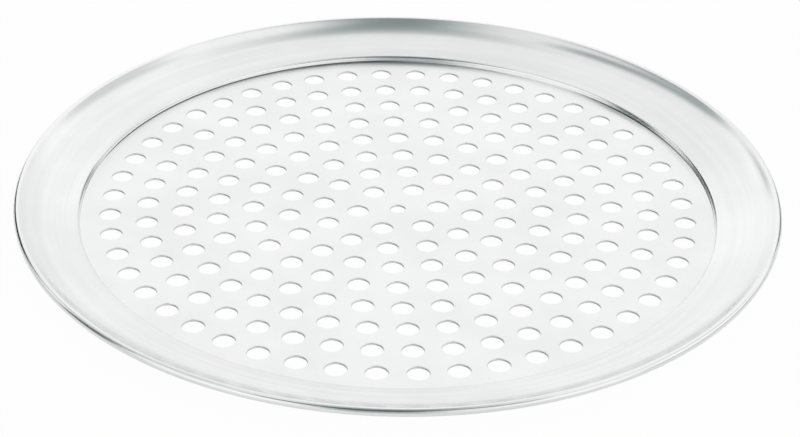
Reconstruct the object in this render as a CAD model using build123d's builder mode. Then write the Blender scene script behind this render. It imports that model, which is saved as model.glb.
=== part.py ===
from build123d import *
from math import cos, radians, sin
import os

# Perforated pizza pan with a wide rim: one aluminium disc, punched, then spun.
# Millimetres, +Z up. The origin is the centre of the underside, which the pan stands on.
# The first hole of the innermost ring lies on +X.

# Sheet
sheet_thickness = 1.0  # 18 gauge aluminium

# Round sizes, from the outside in
outer_diameter = 355.6  # over the rolled edge, 14 inches
rim_width = 30.0  # from the outside of the rolled edge to the wall of the step
plain_band_width = 8.3  # from the foot of the step to the outermost holes

# Step between the flat bottom and the rim
step_wall_angle = 86.0  # from the table
step_wall_length = 1.5  # straight stretch between the two bends
step_inside_radius = 0.25  # on the hollow side of both bends

# Rim, which rises gently and then sweeps up to its edge
rim_angle = 13.5  # where it leaves the step
rim_edge_angle = 38.0  # where it turns over into the rolled edge
sweep_radius = 28.0

# Rolled edge
rolled_edge_diameter = 3.7
rolled_edge_angle = 285.0  # how far the sheet rolls round, from the top of the rim

# Holes
hole_diameter = 10.0
centre_hole_diameter = 7.0
holes_per_ring_step = 6  # each ring has this many more holes than the one inside it
ring_radius_shares = (0.141, 0.261, 0.380, 0.505, 0.628, 0.750, 0.874, 1.0)

# Round shapes are drawn with flats between corners that lie on the true curve. The flats are
# few, because there are 217 holes.
hole_side_count = 10
bend_flat_count = 2

# Cuts run this far past the sheet on both sides
cut_overrun = 1.0


def bend_width(radius, start_angle, end_angle):
    """Width in plan of a bend between the places where it slopes at these two angles."""
    return radius * (sin(radians(end_angle)) - sin(radians(start_angle)))


def go_straight(corners, length, angle):
    """Goes on from the last corner for this length, rising at this angle."""
    corners.append(corners[-1] + Vector(length, 0).rotate(Axis.Z, angle))


def go_round(corners, radius, start_angle, end_angle, flat_count=bend_flat_count):
    """Goes on from the last corner round a bend, from one angle of slope to the other."""
    flat_turn = (end_angle - start_angle) / flat_count
    flat_length = 2 * radius * sin(radians(abs(flat_turn) / 2))
    for flat in range(flat_count):
        go_straight(corners, flat_length, start_angle + flat_turn * (flat + 0.5))


# The bends' radii on the top of the sheet, and the angle at which the rolled edge ends
shoulder_radius = step_inside_radius + sheet_thickness
roll_radius = rolled_edge_diameter / 2
roll_end_angle = rim_edge_angle - rolled_edge_angle

# Radii in plan on the top of the sheet, from the step inwards
outer_radius = outer_diameter / 2
wall_radius = outer_radius - rim_width
half_wall_width = step_wall_length / 2 * cos(radians(step_wall_angle))
flat_radius = wall_radius - half_wall_width - bend_width(step_inside_radius, 0, step_wall_angle)
outer_ring_radius = flat_radius - plain_band_width - hole_diameter / 2

# The rim's straight stretch fills what the shoulder, the sweep and the rolled edge leave
rim_start = wall_radius + half_wall_width + bend_width(shoulder_radius, rim_angle, step_wall_angle)
roll_start = outer_radius - roll_radius - bend_width(roll_radius, 0, rim_edge_angle)
sweep_start = roll_start - bend_width(sweep_radius, rim_angle, rim_edge_angle)
rim_straight_length = (sweep_start - rim_start) / cos(radians(rim_angle))


def sheet_side(depth):
    """Corners of a half section's side at this depth in the sheet, from the axis to the edge."""
    corners = [Vector(0, sheet_thickness - depth)]
    go_straight(corners, flat_radius, 0)
    go_round(corners, step_inside_radius + depth, 0, step_wall_angle)
    go_straight(corners, step_wall_length, step_wall_angle)
    go_round(corners, shoulder_radius - depth, step_wall_angle, rim_angle)
    go_straight(corners, rim_straight_length, rim_angle)
    go_round(corners, sweep_radius + depth, rim_angle, rim_edge_angle)
    # The rolled edge has corners at its top and outermost places, where it is measured
    go_round(corners, roll_radius - depth, rim_edge_angle, 0, flat_count=1)
    go_round(corners, roll_radius - depth, 0, -90)
    go_round(corners, roll_radius - depth, -90, roll_end_angle, flat_count=3)
    return corners


with BuildPart() as pan:
    # The sheet, turned from its half section
    with BuildSketch(Plane.XZ) as half_section:
        with BuildLine() as sheet_outline:
            top = Polyline(*sheet_side(0))
            underside = Polyline(*sheet_side(sheet_thickness))
            Line(top @ 0, underside @ 0)
            Line(top @ 1, underside @ 1)
        make_face()
    revolve(axis=Axis.Z)

    # A small centre hole inside rings of holes, where every other ring is turned by half a step
    with BuildSketch(Plane.XY.offset(-cut_overrun)) as holes:
        RegularPolygon(centre_hole_diameter / 2, hole_side_count)
        for ring, radius_share in enumerate(ring_radius_shares, start=1):
            hole_count = ring * holes_per_ring_step
            start_angle = 0 if ring % 2 else 180 / hole_count
            with PolarLocations(radius_share * outer_ring_radius, hole_count, start_angle):
                RegularPolygon(hole_diameter / 2, hole_side_count)
    extrude(amount=sheet_thickness + 2 * cut_overrun, mode=Mode.SUBTRACT)

pan.part.label = "pan"

os.makedirs("parts", exist_ok=True)
export_step(pan.part, "parts/pan.step")

box = pan.part.bounding_box()
print("overall", round(box.size.X, 2), round(box.size.Y, 2), round(box.size.Z, 2))
print("holes", len(holes.faces()))
print("outermost ring radius", round(outer_ring_radius, 2))
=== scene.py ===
"""Perforated aluminium pizza pan with a wide rim, on a white studio floor.

Metres, +Z up. The pan stands on the floor at zero height, with its axis on the Z axis.
"""

from math import cos, pi, radians, sin

import bpy
from bpy.props import FloatProperty, FloatVectorProperty, IntProperty, PointerProperty
from mathutils import Matrix, Vector
from mathutils.geometry import delaunay_2d_cdt


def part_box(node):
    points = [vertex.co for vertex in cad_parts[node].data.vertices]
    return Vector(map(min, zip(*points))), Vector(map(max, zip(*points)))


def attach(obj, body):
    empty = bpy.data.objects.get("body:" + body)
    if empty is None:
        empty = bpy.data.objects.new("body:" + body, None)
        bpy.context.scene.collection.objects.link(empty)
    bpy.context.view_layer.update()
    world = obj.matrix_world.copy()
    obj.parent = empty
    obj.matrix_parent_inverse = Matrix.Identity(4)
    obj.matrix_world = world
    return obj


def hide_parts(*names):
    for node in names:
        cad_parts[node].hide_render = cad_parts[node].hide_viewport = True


bl_info = {
    "name": "Perforated pizza pan",
    "version": (1, 0, 0),
    "blender": (4, 5, 0),
    "location": "3D View > Sidebar > Pan",
    "description": "Builds a perforated aluminium pizza pan with a wide rim in a plain studio",
    "category": "Object",
}

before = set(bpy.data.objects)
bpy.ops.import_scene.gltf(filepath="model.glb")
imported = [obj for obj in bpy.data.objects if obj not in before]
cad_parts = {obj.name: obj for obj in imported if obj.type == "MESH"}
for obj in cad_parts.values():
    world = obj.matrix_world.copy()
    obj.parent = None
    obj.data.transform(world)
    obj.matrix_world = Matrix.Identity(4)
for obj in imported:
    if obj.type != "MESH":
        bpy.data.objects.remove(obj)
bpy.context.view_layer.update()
pan_low, pan_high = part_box("pan")
reach = min(-pan_low.x, -pan_low.y, pan_high.x, pan_high.y)

MM = 0.001

# Flats in each bend and stretch of the sheet's outline
RISE_STEPS = 4
FOOT_STEPS = 6
WALL_STEPS = 2
SHOULDER_STEPS = 9
RIM_STEPS = 3
SWEEP_STEPS = 8
ROLL_STEPS = 18

# Rounded cut end of the sheet: how far it bulges, and where its points lie across the sheet
CUT_BULGE_SHARE = 0.08
CUT_POINT_SHARES = (0.06, 0.2, 0.5, 0.8, 0.94)

# Holes seen from the side: flats in their rounded edges, and how much wider they are below
ROLLOVER_STEPS = 3
BURR_STEPS = 2
PUNCH_TAPER = 0.03 * MM

# Level bands of faces along the edge of the flat bottom and round each hole
EDGE_BAND = 0.5 * MM
HOLE_BAND = 0.35 * MM

# Points round the pan and round each hole
ROUND_POINTS = 360
HOLE_POINTS = 28

# Rings of holes, as shares of the outermost ring's radius
RING_RADIUS_SHARES = (0.141, 0.261, 0.380, 0.505, 0.628, 0.750, 0.874, 1.0)

# Noise cells in a metre of metal
SPIN_CELLS = 1400.0
BROAD_SPIN_CELLS = 260.0
GRAIN_CELLS_ALONG = 60.0
GRAIN_CELLS_ACROSS = 2600.0
PATCH_CELLS = 22.0

# The most that the marks and the handling add to the roughness, and the roughness of cut metal
STREAK_ROUGHNESS = 0.08
PATCH_ROUGHNESS = 0.06
CUT_ROUGHNESS = 0.5

# The most that the patches and the spun rings darken the metal, and the stretch of their noises
# over which they do it
PATCH_DARKENING = 0.035
RING_DARKENING = 0.03
DARKENING_STRETCH = (0.35, 0.65)

# The spun surface begins at the foot of the step, blurred by this much on either side
FOOT_BLUR = 0.1 * MM

# Parts of the surface's normal between which the metal changes: its upright part, from the walls
# of the holes to level metal, and its part towards the side with painted shade, from the walls' own
# colour to that painted shade
WALL_TO_LEVEL = (0.35, 0.75)
LIT_TO_SHADED_WALL = (0.75, 0.97)

# Painted shade in the crease: a dark line painted on the lowest stretch of the step's wall, where
# shade falls in the crease at its foot. The heights above the flat bottom where it fades in and
# where it fades out, and the outward part of the normal, from the top side of the step's wall to
# its underside
CREASE_SHADE_START = (0.15 * MM, 0.22 * MM)
CREASE_SHADE_END = (0.72 * MM, 0.92 * MM)
TOP_TO_UNDERSIDE = (-0.25, -0.05)
CREASE_SHADE_COLOUR = (0.03, 0.03, 0.03, 1.0)

# Stretches where the painted shade in the crease fades out: a direction from the pan's axis, and
# the cosines of the angles from it between which the painted shade fades out
SHADE_FREE_STRETCHES = (
    ((0.47, 0.883, 0.0), 0.90, 0.99),
    ((-0.141, -0.99, 0.0), -0.4, -0.18),
)

# A place in the tent is the X and Y of the direction to it, where X runs to the camera's right
# and Y away from it. So 0, 0 is overhead, and the horizon is a circle of radius 1. Heights are
# the Z of the same directions.

# Walls: the back wall's level at these heights, the side walls' level, and by how much of its
# level the back wall's left side is brighter low down and its right side high up
BACK_WALL_LEVELS = (
    (0.12, 0.93),
    (0.30, 0.97),
    (0.45, 0.98),
    (0.52, 1.05),
    (0.60, 0.97),
    (0.80, 0.94),
)
SIDE_WALL_LEVEL = 1.06
BACK_WALL_LEAN = 0.045

# Main gap: its level from the front, at 0, to the back, at 1
MAIN_GAP_LEVELS = (
    (0.02, 0.65),
    (0.06, 0.44),
    (0.11, 0.22),
    (0.20, 0.17),
    (0.33, 0.16),
    (0.39, 0.50),
    (0.44, 0.24),
    (0.50, 0.27),
    (0.60, 0.33),
    (0.67, 0.50),
    (0.75, 0.86),
)

# Table edge: how dark it is, and its light stretches, each with its route, the half width of its
# full part and the half width where it has faded out
TABLE_EDGE_DARKNESS = 0.6
LIGHT_STRETCHES = (
    (((-0.45, -0.90), (-0.85, -0.52)), 0.10, 0.25),
    (((0.42, -0.90), (0.85, -0.50)), 0.12, 0.25),
)

# Narrower gaps at the tent's seams, each with its route, the same two half widths and its darkness
NARROW_GAPS = (
    (((-0.55, 0.84), (-0.66, 0.69), (-0.71, 0.60)), 0.07, 0.11, 0.99),
    (((-0.38, 0.23), (-0.50, 0.33), (-0.56, 0.48)), 0.02, 0.16, 0.72),
    (((0.54, 0.85), (0.64, 0.73)), 0.04, 0.08, 0.85),
    (((0.53, 0.36), (0.57, 0.50)), 0.03, 0.18, 0.38),
    (((0.16, 0.20), (0.26, 0.30)), 0.03, 0.15, 0.15),
    (((-0.98, 0.04), (-0.80, 0.13)), 0.10, 0.20, 0.88),
    (((-0.36, -0.40), (0.36, -0.40)), 0.10, 0.20, 0.85),
    (((-0.66, -0.08), (-0.56, -0.26)), 0.06, 0.16, 0.30),
    (((0.56, -0.26), (0.68, -0.06)), 0.06, 0.16, 0.30),
)

# Further than any two places of the tent are apart
FAR_AWAY = 10.0

# Colours of the lit panels and of the gaps, which look a little green
WHITE = (1.0, 1.0, 1.0, 1.0)
GAP_TINT = (0.83, 1.0, 0.985, 1.0)

# How far the floor lies below the pan's underside, so that their faces don't coincide
FLOOR_DROP = 0.02 * MM


# Sizes and colours


class PanSizes(bpy.types.PropertyGroup):
    """Sizes of the pan."""

    outer_radius: FloatProperty(
        name="Outer radius",
        description="From the axis to the outside of the rolled edge",
        default=reach,
        unit="LENGTH",
    )
    flat_radius: FloatProperty(
        name="Flat bottom",
        description="From the axis to where the bottom starts to rise towards the step",
        default=146.2 * MM,
        unit="LENGTH",
    )
    sheet: FloatProperty(
        name="Sheet", description="Thickness of the sheet", default=1.0 * MM, unit="LENGTH"
    )
    rise_radius: FloatProperty(
        name="Rise radius",
        description="Radius in which the bottom rises towards the step, on the top of the sheet",
        default=7.5 * MM,
        unit="LENGTH",
    )
    rise_angle: FloatProperty(
        name="Rise angle",
        description="Slope of the bottom where it meets the foot of the step",
        default=radians(13),
        subtype="ANGLE",
    )
    foot_radius: FloatProperty(
        name="Foot radius",
        description="Radius at the foot of the step, on the top of the sheet",
        default=0.15 * MM,
        unit="LENGTH",
    )
    wall_angle: FloatProperty(
        name="Wall angle",
        description="Slope of the step's wall",
        default=radians(85),
        subtype="ANGLE",
    )
    wall_length: FloatProperty(
        name="Wall",
        description="Straight stretch between the step's foot and its shoulder",
        default=1.24 * MM,
        unit="LENGTH",
    )
    shoulder_radius: FloatProperty(
        name="Shoulder radius",
        description="Radius at the head of the step, on the top of the sheet",
        default=1.6 * MM,
        unit="LENGTH",
    )
    rim_angle: FloatProperty(
        name="Rim angle",
        description="Slope of the rim where it leaves the step",
        default=radians(13.5),
        subtype="ANGLE",
    )
    edge_angle: FloatProperty(
        name="Edge angle",
        description="Slope of the rim where it turns over into the rolled edge",
        default=radians(38),
        subtype="ANGLE",
    )
    sweep_radius: FloatProperty(
        name="Sweep radius",
        description="Radius in which the rim sweeps up to its edge",
        default=28 * MM,
        unit="LENGTH",
    )
    roll_radius: FloatProperty(
        name="Roll radius",
        description="Outside radius of the rolled edge",
        default=1.85 * MM,
        unit="LENGTH",
    )
    roll_turn: FloatProperty(
        name="Roll turn",
        description="How far the sheet rolls round at its edge",
        default=radians(285),
        subtype="ANGLE",
    )
    hole_radius: FloatProperty(
        name="Hole radius", description="Radius of the holes", default=5 * MM, unit="LENGTH"
    )
    centre_hole_radius: FloatProperty(
        name="Centre hole radius",
        description="Radius of the hole in the centre",
        default=3.5 * MM,
        unit="LENGTH",
    )
    outer_ring_radius: FloatProperty(
        name="Outermost ring",
        description="Radius of the outermost ring of holes",
        default=134.2 * MM,
        unit="LENGTH",
    )
    ring_step: IntProperty(
        name="Holes per ring step",
        description="How many more holes each ring has than the one inside it",
        default=6,
    )
    rollover: FloatProperty(
        name="Punch rollover",
        description="Radius to which the punch draws in the upper edge of each hole",
        default=0.3 * MM,
        unit="LENGTH",
    )
    burr: FloatProperty(
        name="Lower edge",
        description="Radius of the lower edge of each hole",
        default=0.08 * MM,
        unit="LENGTH",
    )


class PanFinish(bpy.types.PropertyGroup):
    """Colours and surface of the bare aluminium."""

    metal: FloatVectorProperty(
        name="Metal",
        description="Colour of the bare aluminium",
        default=(0.912, 0.918, 0.916),
        subtype="COLOR",
    )
    flat_metal: FloatVectorProperty(
        name="Flat metal",
        description="Colour of the milled flat bottom",
        default=(0.95, 0.953, 0.953),
        subtype="COLOR",
    )
    cut_metal: FloatVectorProperty(
        name="Cut metal",
        description="Colour of the duller metal in the punched holes",
        default=(0.80, 0.815, 0.81),
        subtype="COLOR",
    )
    # Painted shade: the darker colour painted on one side of every hole's wall
    shaded_wall_metal: FloatVectorProperty(
        name="Torn metal",
        description="Colour of the walls of the holes on the side where the punch tore them",
        default=(0.50, 0.51, 0.51),
        subtype="COLOR",
    )
    # Direction in which the side of each hole's wall with the painted shade faces
    shaded_wall_side: FloatVectorProperty(
        name="Torn side",
        description="Direction in which the torn side of each hole faces",
        default=(-0.83, -0.56, 0.0),
        subtype="DIRECTION",
    )
    rim_roughness: FloatProperty(
        name="Rim roughness",
        description="Roughness of the spun rim",
        default=0.19,
        subtype="FACTOR",
    )
    flat_roughness: FloatProperty(
        name="Flat roughness",
        description="Roughness of the milled flat bottom",
        default=0.30,
        subtype="FACTOR",
    )
    # How dark the painted shade in the crease at the foot of the step is
    crease: FloatProperty(
        name="Crease",
        description="How dark the sharp crease at the foot of the step is",
        default=0.9,
        subtype="FACTOR",
    )
    spin_depth: FloatProperty(
        name="Spin marks",
        description="Depth of the marks that spinning leaves round the rim",
        default=0.004 * MM,
        unit="LENGTH",
    )
    grain_depth: FloatProperty(
        name="Mill grain",
        description="Depth of the rolling mill's grain on the flat bottom",
        default=0.0015 * MM,
        unit="LENGTH",
    )


class StudioSettings(bpy.types.PropertyGroup):
    """Floor, surroundings and camera."""

    floor_size: FloatProperty(
        name="Floor", description="Width of the floor", default=12.0, unit="LENGTH"
    )
    floor_colour: FloatVectorProperty(
        name="Floor colour",
        description="Colour of the floor",
        default=(0.9, 0.9, 0.9),
        subtype="COLOR",
    )
    floor_glow: FloatProperty(
        name="Floor white",
        description="Share of the floor's white that a shadow doesn't reach",
        default=0.97,
        subtype="FACTOR",
    )
    mirrored_glow: FloatProperty(
        name="Mirrored white",
        description="The same share where metal mirrors the floor",
        default=0.5,
        subtype="FACTOR",
    )
    tent_level: FloatProperty(
        name="Tent", description="Brightness of the white tent round the pan", default=1.0
    )
    camera_distance: FloatProperty(
        name="Camera distance",
        description="From the axis of the pan to the camera, along the floor",
        default=0.9627,
        unit="LENGTH",
    )
    camera_height: FloatProperty(
        name="Camera height", description="Height of the camera", default=0.5824, unit="LENGTH"
    )
    camera_side: FloatProperty(
        name="Camera offset",
        description="How far the camera stands to the right of the pan's axis",
        default=0.00107,
        unit="LENGTH",
    )
    camera_turn: FloatProperty(
        name="Camera turn",
        description="How far the camera is turned round the pan's axis",
        default=radians(-8.1),
        subtype="ANGLE",
    )
    camera_tilt: FloatProperty(
        name="Camera tilt",
        description="How far the camera looks down",
        default=radians(31.36),
        subtype="ANGLE",
    )
    camera_roll: FloatProperty(
        name="Camera roll",
        description="How far the camera is rolled about its own axis",
        default=radians(1.192),
        subtype="ANGLE",
    )
    camera_lens: FloatProperty(
        name="Lens", description="Focal length in millimetres", default=107.93
    )


# Outline of the turned sheet


def arc(outline, radius, start, end, steps):
    """Goes on from the outline's last point round a bend, between these two angles of slope."""
    distance, height = outline[-1]
    side = 1 if end > start else -1
    for step in range(1, steps + 1):
        slope = start + (end - start) * step / steps
        outline.append(
            (
                distance + side * radius * (sin(slope) - sin(start)),
                height - side * radius * (cos(slope) - cos(start)),
            )
        )


def straight(outline, length, slope, steps):
    """Goes on from the outline's last point for this length at this slope."""
    distance, height = outline[-1]
    for step in range(1, steps + 1):
        along = length * step / steps
        outline.append((distance + along * cos(slope), height + along * sin(slope)))


def sheet_side(sizes, depth):
    """One side of the sheet, at this depth in it, from the flat bottom's edge to the cut edge."""
    outline = [(sizes.flat_radius - EDGE_BAND, sizes.sheet - depth)]
    straight(outline, EDGE_BAND, 0, 1)
    arc(outline, sizes.rise_radius + depth, 0, sizes.rise_angle, RISE_STEPS)
    arc(outline, sizes.foot_radius + depth, sizes.rise_angle, sizes.wall_angle, FOOT_STEPS)
    straight(outline, sizes.wall_length, sizes.wall_angle, WALL_STEPS)
    arc(outline, sizes.shoulder_radius - depth, sizes.wall_angle, sizes.rim_angle, SHOULDER_STEPS)

    # The rim's straight stretch fills what is left
    roll_start = sizes.outer_radius - sizes.roll_radius * (1 + sin(sizes.edge_angle))
    sweep_start = roll_start - sizes.sweep_radius * (sin(sizes.edge_angle) - sin(sizes.rim_angle))
    rim_start = outline[-1][0] - depth * sin(sizes.rim_angle)
    rim_length = (sweep_start - rim_start) / cos(sizes.rim_angle)
    straight(outline, rim_length, sizes.rim_angle, RIM_STEPS)
    arc(outline, sizes.sweep_radius + depth, sizes.rim_angle, sizes.edge_angle, SWEEP_STEPS)
    roll_end = sizes.edge_angle - sizes.roll_turn
    arc(outline, sizes.roll_radius - depth, sizes.edge_angle, roll_end, ROLL_STEPS)
    return outline


def cut_edge(top_end, under_end):
    """Slightly rounded end of the sheet, between the ends of its two sides."""
    top, under = Vector(top_end), Vector(under_end)
    across = under - top
    outwards = Vector((across.y, -across.x)) * CUT_BULGE_SHARE
    return [
        tuple(top + across * share + outwards * (1 - (2 * share - 1) ** 4))
        for share in CUT_POINT_SHARES
    ]


# The pan


def hole_places(sizes):
    """Centre and radius of each hole: a small one in the middle, inside rings of larger ones."""
    holes = [(Vector((0, 0)), sizes.centre_hole_radius)]
    for ring, share in enumerate(RING_RADIUS_SHARES, start=1):
        count = ring * sizes.ring_step
        first = 0 if ring % 2 else pi / count
        for hole in range(count):
            angle = first + 2 * pi * hole / count
            centre = Vector((cos(angle), sin(angle))) * share * sizes.outer_ring_radius
            holes.append((centre, sizes.hole_radius))
    return holes


def hole_rows(sizes, radius):
    """Radius and height of each row of points down a hole, from the flat's top to its underside."""
    rows = [(radius + sizes.rollover + HOLE_BAND, sizes.sheet)]
    for step in range(ROLLOVER_STEPS + 1):
        slope = pi / 2 * step / ROLLOVER_STEPS
        rows.append(
            (
                radius + sizes.rollover * (1 - sin(slope)),
                sizes.sheet - sizes.rollover * (1 - cos(slope)),
            )
        )
    for step in range(BURR_STEPS + 1):
        slope = pi / 2 * step / BURR_STEPS
        rows.append(
            (
                radius + PUNCH_TAPER + sizes.burr * (1 - cos(slope)),
                sizes.burr * (1 - sin(slope)),
            )
        )
    rows.append((radius + sizes.burr + HOLE_BAND, 0))
    return rows


def ring_of_points(points, centre, radius, height, count):
    """Adds a level ring of points and returns their numbers."""
    first = len(points)
    for step in range(count):
        angle = 2 * pi * step / count
        points.append((centre.x + radius * cos(angle), centre.y + radius * sin(angle), height))
    return list(range(first, first + count))


def join_rings(faces, upper, lower):
    """Joins two rings of as many points by a band of faces."""
    count = len(upper)
    for step in range(count):
        after = (step + 1) % count
        faces.append((upper[step], lower[step], lower[after], upper[after]))


def fill_flat(points, faces, edge, hole_rings, facing_up):
    """Fills the flat between its edge ring and the rings round the holes."""
    rings = [edge] + hole_rings
    numbers = [number for ring in rings for number in ring]
    ring_of = {number: index for index, ring in enumerate(rings) for number in ring}
    place_of = {number: place for place, number in enumerate(numbers)}
    flat_points = [Vector(points[number][:2]) / MM for number in numbers]
    borders = []
    for ring in rings:
        for step, number in enumerate(ring):
            borders.append((place_of[number], place_of[ring[(step + 1) % len(ring)]]))
    inside_borders = 1
    same_place = 1e-6
    made = delaunay_2d_cdt(flat_points, borders, [], inside_borders, same_place, True)
    made_faces, sources = made[2:4]
    for face in made_faces:
        corners = [numbers[sources[corner][0]] for corner in face]
        owners = {ring_of[corner] for corner in corners}
        inside_hole = len(owners) == 1 and 0 not in owners
        if not inside_hole:
            faces.append(tuple(corners) if facing_up else tuple(reversed(corners)))


def make_pan_mesh(sizes):
    """The whole sheet as one closed mesh: flat bottom with its holes, step, rim and rolled edge."""
    points, faces = [], []
    top = sheet_side(sizes, 0)
    underside = sheet_side(sizes, sizes.sheet)
    section = top + cut_edge(top[-1], underside[-1]) + underside[::-1]
    axis = Vector((0, 0))
    turned = [
        ring_of_points(points, axis, radius, height, ROUND_POINTS) for radius, height in section
    ]
    for inner, outer in zip(turned, turned[1:]):
        join_rings(faces, inner, outer)

    upper_rings, lower_rings = [], []
    for centre, radius in hole_places(sizes):
        rows = [
            ring_of_points(points, centre, row_radius, height, HOLE_POINTS)
            for row_radius, height in hole_rows(sizes, radius)
        ]
        for above, below in zip(rows, rows[1:]):
            join_rings(faces, below, above)
        upper_rings.append(rows[0])
        lower_rings.append(rows[-1])
    fill_flat(points, faces, turned[0], upper_rings, True)
    fill_flat(points, faces, turned[-1], lower_rings, False)

    mesh = bpy.data.meshes.new("pan_sheet")
    mesh.from_pydata(points, [], faces)
    mesh.validate()
    mesh.shade_smooth()
    return mesh


# Bare aluminium


class NodeWriter:
    """Short calls that add nodes to a material or a world."""

    def __init__(self, tree):
        self.tree = tree

    def add(self, kind, inputs=None, **settings):
        """Adds a node with these settings, and sets or links its inputs."""
        node = self.tree.nodes.new(kind)
        for name, value in settings.items():
            setattr(node, name, value)
        for name, value in (inputs or {}).items():
            if isinstance(value, bpy.types.NodeSocket):
                self.tree.links.new(value, node.inputs[name])
            else:
                node.inputs[name].default_value = value
        return node

    def math(self, operation, first, second=0.0, third=0.0):
        """Result of a sum on numbers."""
        node = self.add("ShaderNodeMath", {0: first, 1: second, 2: third}, operation=operation)
        return node.outputs[0]

    def ramp(self, value, low, high, start=0.0, end=1.0):
        """Smooth change from start to end while the value goes from low to high."""
        node = self.add(
            "ShaderNodeMapRange",
            {"Value": value, "From Min": low, "From Max": high, "To Min": start, "To Max": end},
            interpolation_type="SMOOTHSTEP",
        )
        return node.outputs[0]

    def steps(self, value, stops):
        """Level that follows these stops, each with its place from 0 to 1 and its level."""
        node = self.add("ShaderNodeValToRGB", {"Fac": value})
        marks = node.color_ramp.elements
        while len(marks) < len(stops):
            marks.new(0.5)
        for mark, (place, level) in zip(marks, stops):
            mark.position = place
            mark.color = (level, level, level, 1.0)
        return node.outputs["Color"]

    def mix(self, share, first, second):
        """Number between two others."""
        node = self.add("ShaderNodeMix", {0: share, 2: first, 3: second}, data_type="FLOAT")
        return node.outputs[0]

    def mix_colour(self, share, first, second):
        """Colour between two others."""
        node = self.add("ShaderNodeMix", {0: share, 6: first, 7: second}, data_type="RGBA")
        return node.outputs[2]

    def mix_vector(self, share, first, second):
        """Vector between two others."""
        node = self.add("ShaderNodeMix", {0: share, 4: first, 5: second}, data_type="VECTOR")
        return node.outputs[1]

    def vector(self, x, y, z=0.0):
        """Vector of three numbers."""
        return self.add("ShaderNodeCombineXYZ", {0: x, 1: y, 2: z}).outputs[0]

    def vector_math(self, operation, first, second=(0.0, 0.0, 0.0), result=0):
        """Result of a sum on vectors. Where it is a number, result is "Value"."""
        node = self.add("ShaderNodeVectorMath", {0: first, 1: second}, operation=operation)
        return node.outputs[result]

    def scaled(self, vector, scale):
        """Vector times a number."""
        node = self.add("ShaderNodeVectorMath", {0: vector, "Scale": scale}, operation="SCALE")
        return node.outputs[0]

    def strip(self, place, route, core, edge):
        """Level of 1 as near as core to a route of straight lines, and of 0 beyond its edge."""
        distance = FAR_AWAY
        for start, end in zip(route, route[1:]):
            start, end = Vector((*start, 0)), Vector((*end, 0))
            along = end - start
            offset = self.vector_math("SUBTRACT", place, start)
            share = self.vector_math("DOT_PRODUCT", offset, along / along.length_squared, "Value")
            share = self.add("ShaderNodeClamp", {"Value": share}).outputs[0]
            foot = self.scaled(along, share)
            apart = self.vector_math("DISTANCE", offset, foot, "Value")
            distance = self.math("MINIMUM", distance, apart)
        return self.ramp(distance, core, edge, 1.0, 0.0)

    def noise(self, vector, scale=1.0, *, detail, roughness):
        """Level of a noise, from 0 to 1, at this place."""
        node = self.add(
            "ShaderNodeTexNoise",
            {"Vector": vector, "Scale": scale, "Detail": detail, "Roughness": roughness},
        )
        return node.outputs[0]


def surface_marks(write, x, y, distance, outwards):
    """Noises on the metal: fine and broad spin marks, and mill grain."""
    # Spin marks: rings, each of which fades in and out round the pan
    out_axes = write.add("ShaderNodeSeparateXYZ", {0: outwards}).outputs
    spin_ring = write.math("MULTIPLY", distance, SPIN_CELLS)
    spin_place = write.vector(spin_ring, out_axes[0], out_axes[1])
    spin = write.noise(spin_place, detail=3.0, roughness=0.6)
    broad_ring = write.math("MULTIPLY", distance, BROAD_SPIN_CELLS)
    broad_place = write.vector(broad_ring, out_axes[0], out_axes[1])
    broad_spin = write.noise(broad_place, detail=2.0, roughness=0.5)

    # Mill grain: long fine lines along one direction of the sheet
    grain_place = write.vector(
        write.math("MULTIPLY", x, GRAIN_CELLS_ALONG), write.math("MULTIPLY", y, GRAIN_CELLS_ACROSS)
    )
    grain = write.noise(grain_place, detail=3.0, roughness=0.6)
    return spin, broad_spin, grain


def hole_walls(write, finish, normal, on_rim):
    """Share of upright surface inside the flat, and the colour of the holes' punched walls."""
    facing = write.add("ShaderNodeSeparateXYZ", {0: normal}).outputs[2]
    upright = write.ramp(write.math("ABSOLUTE", facing), *WALL_TO_LEVEL, 1.0, 0.0)
    cut = write.math("MULTIPLY", upright, write.math("SUBTRACT", 1.0, on_rim))
    # They are burnished all round; the side of each wall that faces one fixed direction is painted
    # darker, as painted shade
    shaded = write.vector_math("DOT_PRODUCT", normal, finish.shaded_wall_side, "Value")
    colour = write.mix_colour(
        write.ramp(shaded, *LIT_TO_SHADED_WALL), (*finish.cut_metal, 1.0), (*finish.shaded_wall_metal, 1.0)
    )
    return cut, colour


def crease_shade_share(write, rise, normal, outwards):
    """Share of the painted shade in the crease, at this rise above the flat: the lowest stretch of
    the step's wall, on its top side, but for the stretches where the painted shade fades out."""
    low_end = write.ramp(rise, *CREASE_SHADE_START)
    share = write.math("MULTIPLY", low_end, write.ramp(rise, *CREASE_SHADE_END, 1.0, 0.0))
    outward_part = write.vector_math("DOT_PRODUCT", normal, outwards, "Value")
    share = write.math("MULTIPLY", share, write.ramp(outward_part, *TOP_TO_UNDERSIDE, 1.0, 0.0))
    for direction, dark_end, bright_end in SHADE_FREE_STRETCHES:
        nearness = write.vector_math("DOT_PRODUCT", outwards, direction, "Value")
        shade_kept = write.ramp(nearness, dark_end, bright_end, 1.0, 0.0)
        share = write.math("MULTIPLY", share, shade_kept)
    return share


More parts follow.
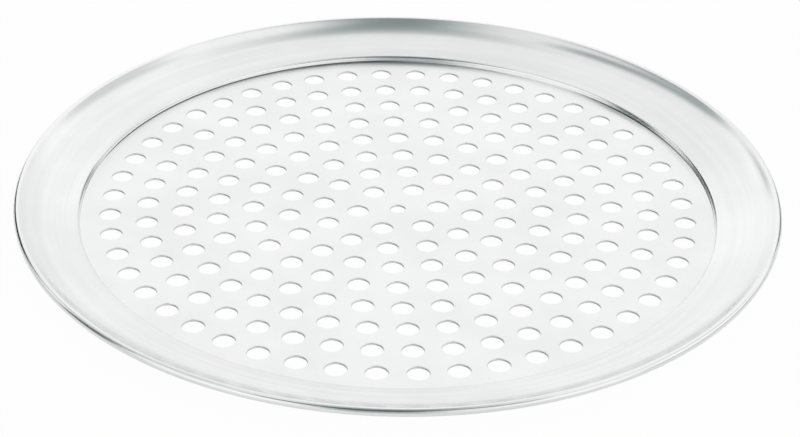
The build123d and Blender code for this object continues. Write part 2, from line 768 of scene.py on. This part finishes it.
def make_aluminium(sizes, finish):
    """Bare aluminium: spun rim, milled flat and duller punched edges."""
    material = bpy.data.materials.new("bare_aluminium")
    material.use_nodes = True
    tree = material.node_tree
    tree.nodes.clear()
    write = NodeWriter(tree)

    place = write.add("ShaderNodeTexCoord").outputs["Object"]
    x, y, z = write.add("ShaderNodeSeparateXYZ", {0: place}).outputs
    normal = write.add("ShaderNodeNewGeometry").outputs["Normal"]
    level_place = write.vector(x, y)
    distance = write.vector_math("LENGTH", level_place, result="Value")
    outwards = write.vector_math("NORMALIZE", level_place)

    # The spun surface begins at the foot of the step
    foot = sizes.flat_radius + sizes.rise_radius * sin(sizes.rise_angle)
    on_rim = write.ramp(distance, foot - FOOT_BLUR, foot + FOOT_BLUR)

    spin, broad_spin, grain = surface_marks(write, x, y, distance, outwards)
    height = write.mix(
        on_rim,
        write.math("MULTIPLY", grain, finish.grain_depth / MM),
        write.math("MULTIPLY", spin, finish.spin_depth / MM),
    )
    bump = write.add("ShaderNodeBump", {"Strength": 1.0, "Distance": MM, "Height": height})

    # Handling leaves soft uneven patches. The roughnesses in the finish are means, so half of
    # what the marks and patches add comes off first.
    patches = write.noise(place, PATCH_CELLS, detail=3.0, roughness=0.55)
    streaks = write.mix(on_rim, grain, broad_spin)
    mean_added = (STREAK_ROUGHNESS + PATCH_ROUGHNESS) / 2
    rough = write.mix(
        on_rim, finish.flat_roughness - mean_added, finish.rim_roughness - mean_added
    )
    rough = write.math("ADD", rough, write.math("MULTIPLY", streaks, STREAK_ROUGHNESS))
    rough = write.math("ADD", rough, write.math("MULTIPLY", patches, PATCH_ROUGHNESS))

    cut, wall_colour = hole_walls(write, finish, normal, on_rim)
    colour = write.mix_colour(on_rim, (*finish.flat_metal, 1.0), (*finish.metal, 1.0))
    colour = write.mix_colour(cut, colour, wall_colour)
    rough = write.mix(cut, rough, CUT_ROUGHNESS)

    # Painted shade: the crease at the foot of the step's wall is painted dark, to stand for the
    # shade in it
    rise = write.math("SUBTRACT", z, sizes.sheet)
    crease = write.math("MULTIPLY", crease_shade_share(write, rise, normal, outwards), on_rim)
    crease = write.math("MULTIPLY", crease, finish.crease)
    colour = write.mix_colour(crease, colour, CREASE_SHADE_COLOUR)

    # Uneven tone: soft patches all over and faint rings on the rim
    dim_patches = write.ramp(patches, *DARKENING_STRETCH)
    tone = write.math("MULTIPLY_ADD", dim_patches, -PATCH_DARKENING, 1.0)
    dim_rings = write.math("MULTIPLY", write.ramp(broad_spin, *DARKENING_STRETCH), on_rim)
    ring_tone = write.math("MULTIPLY_ADD", dim_rings, -RING_DARKENING, 1.0)
    tone = write.math("MULTIPLY", tone, ring_tone)
    colour = write.scaled(colour, tone)

    tangent = write.mix_vector(on_rim, (0.0, 1.0, 0.0), outwards)
    shader = write.add(
        "ShaderNodeBsdfPrincipled",
        {
            "Base Color": colour,
            "Metallic": 1.0,
            "Roughness": rough,
            "Anisotropic": 0.5,
            "Normal": bump.outputs[0],
            "Tangent": tangent,
        },
    )
    write.add("ShaderNodeOutputMaterial", {"Surface": shader.outputs[0]})
    return material


class BAKEWARE_OT_pizza_pan(bpy.types.Operator):
    """Builds the pan: flat bottom with punched holes, step, rim and rolled edge"""

    bl_idname = "bakeware.pizza_pan"
    bl_label = "Pizza pan"

    def execute(self, context):
        """Makes the sheet and puts it in place of the CAD node."""
        sizes = context.scene.pan_sizes
        pan = bpy.data.objects.new("pan_sheet", make_pan_mesh(sizes))
        context.scene.collection.objects.link(pan)
        pan.data.materials.append(make_aluminium(sizes, context.scene.pan_finish))
        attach(pan, "root")
        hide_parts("pan")
        return {"FINISHED"}


# Studio


def make_floor(studio):
    """White floor that shows white to the camera and in reflections, and takes the pan's shadow."""
    half = studio.floor_size / 2
    corners = [(-half, -half, 0), (half, -half, 0), (half, half, 0), (-half, half, 0)]
    mesh = bpy.data.meshes.new("floor")
    mesh.from_pydata(corners, [], [(0, 1, 2, 3)])
    floor = bpy.data.objects.new("floor", mesh)
    floor.location.z = -FLOOR_DROP

    material = bpy.data.materials.new("white_floor")
    material.use_nodes = True
    material.node_tree.nodes.clear()
    write = NodeWriter(material.node_tree)
    rays = write.add("ShaderNodeLightPath")
    mirrored = write.math(
        "MAXIMUM", rays.outputs["Is Glossy Ray"], rays.outputs["Is Transmission Ray"]
    )
    mirrored = write.math("MULTIPLY", mirrored, studio.mirrored_glow)
    seen = write.math("MULTIPLY", rays.outputs["Is Camera Ray"], studio.floor_glow)
    share = write.math("MAXIMUM", seen, mirrored)
    matt = write.add("ShaderNodeBsdfDiffuse", {"Color": (*studio.floor_colour, 1.0)})
    white = write.add("ShaderNodeEmission", {"Color": WHITE, "Strength": 1.0})
    surface = write.add(
        "ShaderNodeMixShader", {0: share, 1: matt.outputs[0], 2: white.outputs[0]}
    )
    write.add("ShaderNodeOutputMaterial", {"Surface": surface.outputs[0]})
    mesh.materials.append(material)
    return floor


def tent_walls(write, x, z):
    """Level of the walls. The back wall is brightest half way up, the left side a little lower
    down and the right side a little higher up."""
    back = write.steps(z, BACK_WALL_LEVELS)
    lean = write.ramp(z, 0.47, 0.58, -BACK_WALL_LEAN, BACK_WALL_LEAN)
    lean = write.math("MULTIPLY", lean, write.ramp(x, -0.15, 0.25, -1.0, 1.0))
    back = write.math("MULTIPLY", back, write.math("ADD", lean, 1.0))
    sideways = write.ramp(write.math("ABSOLUTE", x), 0.35, 0.6)
    return write.mix(sideways, back, SIDE_WALL_LEVEL)


def main_gap(write, x, y):
    """Share and level of the gap that the camera looks in through: narrow overhead, wider and
    darker towards the front, and lighter again low down in front and towards the back."""
    level = write.steps(write.math("MULTIPLY_ADD", y, 0.5, 0.5), MAIN_GAP_LEVELS)
    middle = write.ramp(y, 0.0, -0.4, 0.02, -0.07)
    aside = write.math("ABSOLUTE", write.math("SUBTRACT", x, middle))
    core = write.ramp(y, 0.1, -0.6, 0.04, 0.10)
    edge = write.ramp(y, 0.0, -0.65, 0.27, 0.38)
    share = write.ramp(aside, core, edge, 1.0, 0.0)
    return write.math("MULTIPLY", share, write.ramp(y, 0.55, 0.45)), level


def table_edge(write, place, y, z):
    """Share of the dim line low down in front and at the sides, but for its light stretches."""
    share = write.ramp(z, 0.12, 0.24, 1.0, 0.0)
    share = write.math("MULTIPLY", share, write.ramp(y, 0.55, 0.75, 1.0, 0.0))
    strips = [write.strip(place, route, core, edge) for route, core, edge in LIGHT_STRETCHES]
    light = write.math("MAXIMUM", *strips)
    share = write.math("MULTIPLY", share, write.math("SUBTRACT", 1.0, light))
    return write.math("MULTIPLY", share, TABLE_EDGE_DARKNESS)


def make_tent(studio):
    """White light tent all round, with dark gaps between its panels."""
    world = bpy.data.worlds.new("light_tent")
    world.use_nodes = True
    world.node_tree.nodes.clear()
    write = NodeWriter(world.node_tree)
    direction = write.add("ShaderNodeTexCoord").outputs["Generated"]
    turned = write.add(
        "ShaderNodeVectorRotate",
        {"Vector": direction, "Angle": -studio.camera_turn},
        rotation_type="Z_AXIS",
    ).outputs[0]
    x, y, z = write.add("ShaderNodeSeparateXYZ", {0: turned}).outputs
    place = write.vector(x, y)

    level = write.math("MULTIPLY", tent_walls(write, x, z), studio.tent_level)
    gap, gap_level = main_gap(write, x, y)
    level = write.mix(gap, level, gap_level)
    level = write.mix(table_edge(write, place, y, z), level, 0.0)
    for route, core, edge, darkness in NARROW_GAPS:
        gap = write.strip(place, route, core, edge)
        level = write.mix(write.math("MULTIPLY", gap, darkness), level, 0.0)

    # The camera itself sees a white backdrop
    rays = write.add("ShaderNodeLightPath")
    level = write.mix(rays.outputs["Is Camera Ray"], level, 1.0)
    colour = write.mix_colour(write.ramp(level, 0.1, 0.9), GAP_TINT, WHITE)
    background = write.add("ShaderNodeBackground", {"Color": colour, "Strength": level})
    write.add("ShaderNodeOutputWorld", {"Surface": background.outputs[0]})
    return world


def make_camera(studio):
    """Camera at the photograph's angle."""
    data = bpy.data.cameras.new("camera")
    data.lens = studio.camera_lens
    data.sensor_width = 36.0
    data.clip_start = 0.01
    data.clip_end = 50.0
    camera = bpy.data.objects.new("camera", data)
    camera.rotation_mode = "QUATERNION"
    turn = Matrix.Rotation(studio.camera_turn, 4, "Z")
    tilt = Matrix.Rotation(pi / 2 - studio.camera_tilt, 4, "X")
    roll = Matrix.Rotation(studio.camera_roll, 4, "Z")
    place = Vector((studio.camera_side, -studio.camera_distance, studio.camera_height))
    camera.location = turn @ place
    camera.rotation_quaternion = (turn @ tilt @ roll).to_quaternion()
    return camera


class BAKEWARE_OT_studio(bpy.types.Operator):
    """Makes the floor, the light tent and the camera"""

    bl_idname = "bakeware.studio"
    bl_label = "Studio"

    def execute(self, context):
        """Sets up all that isn't part of the pan."""
        scene = context.scene
        studio = scene.pan_studio
        floor = make_floor(studio)
        scene.collection.objects.link(floor)
        scene.world = make_tent(studio)
        camera = make_camera(studio)
        scene.collection.objects.link(camera)
        scene.camera = camera
        scene.view_settings.view_transform = "Standard"
        return {"FINISHED"}


class BAKEWARE_PT_pizza_pan(bpy.types.Panel):
    """Sidebar panel with the sizes, the finish and the buttons"""

    bl_idname = "BAKEWARE_PT_pizza_pan"
    bl_label = "Pizza pan"
    bl_space_type = "VIEW_3D"
    bl_region_type = "UI"
    bl_category = "Pan"

    def draw(self, context):
        """Lists every value, and the operators under them."""
        scene = context.scene
        for group in (scene.pan_sizes, scene.pan_finish, scene.pan_studio):
            column = self.layout.column(align=True)
            for name in group.bl_rna.properties.keys():
                if name not in ("rna_type", "name"):
                    column.prop(group, name)
        self.layout.operator(BAKEWARE_OT_pizza_pan.bl_idname)
        self.layout.operator(BAKEWARE_OT_studio.bl_idname)


CLASSES = (
    PanSizes,
    PanFinish,
    StudioSettings,
    BAKEWARE_OT_pizza_pan,
    BAKEWARE_OT_studio,
    BAKEWARE_PT_pizza_pan,
)


def register():
    """Registers the classes and their settings."""
    for part in CLASSES:
        bpy.utils.register_class(part)
    bpy.types.Scene.pan_sizes = PointerProperty(type=PanSizes)
    bpy.types.Scene.pan_finish = PointerProperty(type=PanFinish)
    bpy.types.Scene.pan_studio = PointerProperty(type=StudioSettings)


def unregister():
    """Takes the settings and classes away again."""
    del bpy.types.Scene.pan_studio
    del bpy.types.Scene.pan_finish
    del bpy.types.Scene.pan_sizes
    for part in reversed(CLASSES):
        bpy.utils.unregister_class(part)


def main():
    register()
    bpy.ops.bakeware.pizza_pan()
    bpy.ops.bakeware.studio()


if __name__ == "__main__":
    main()
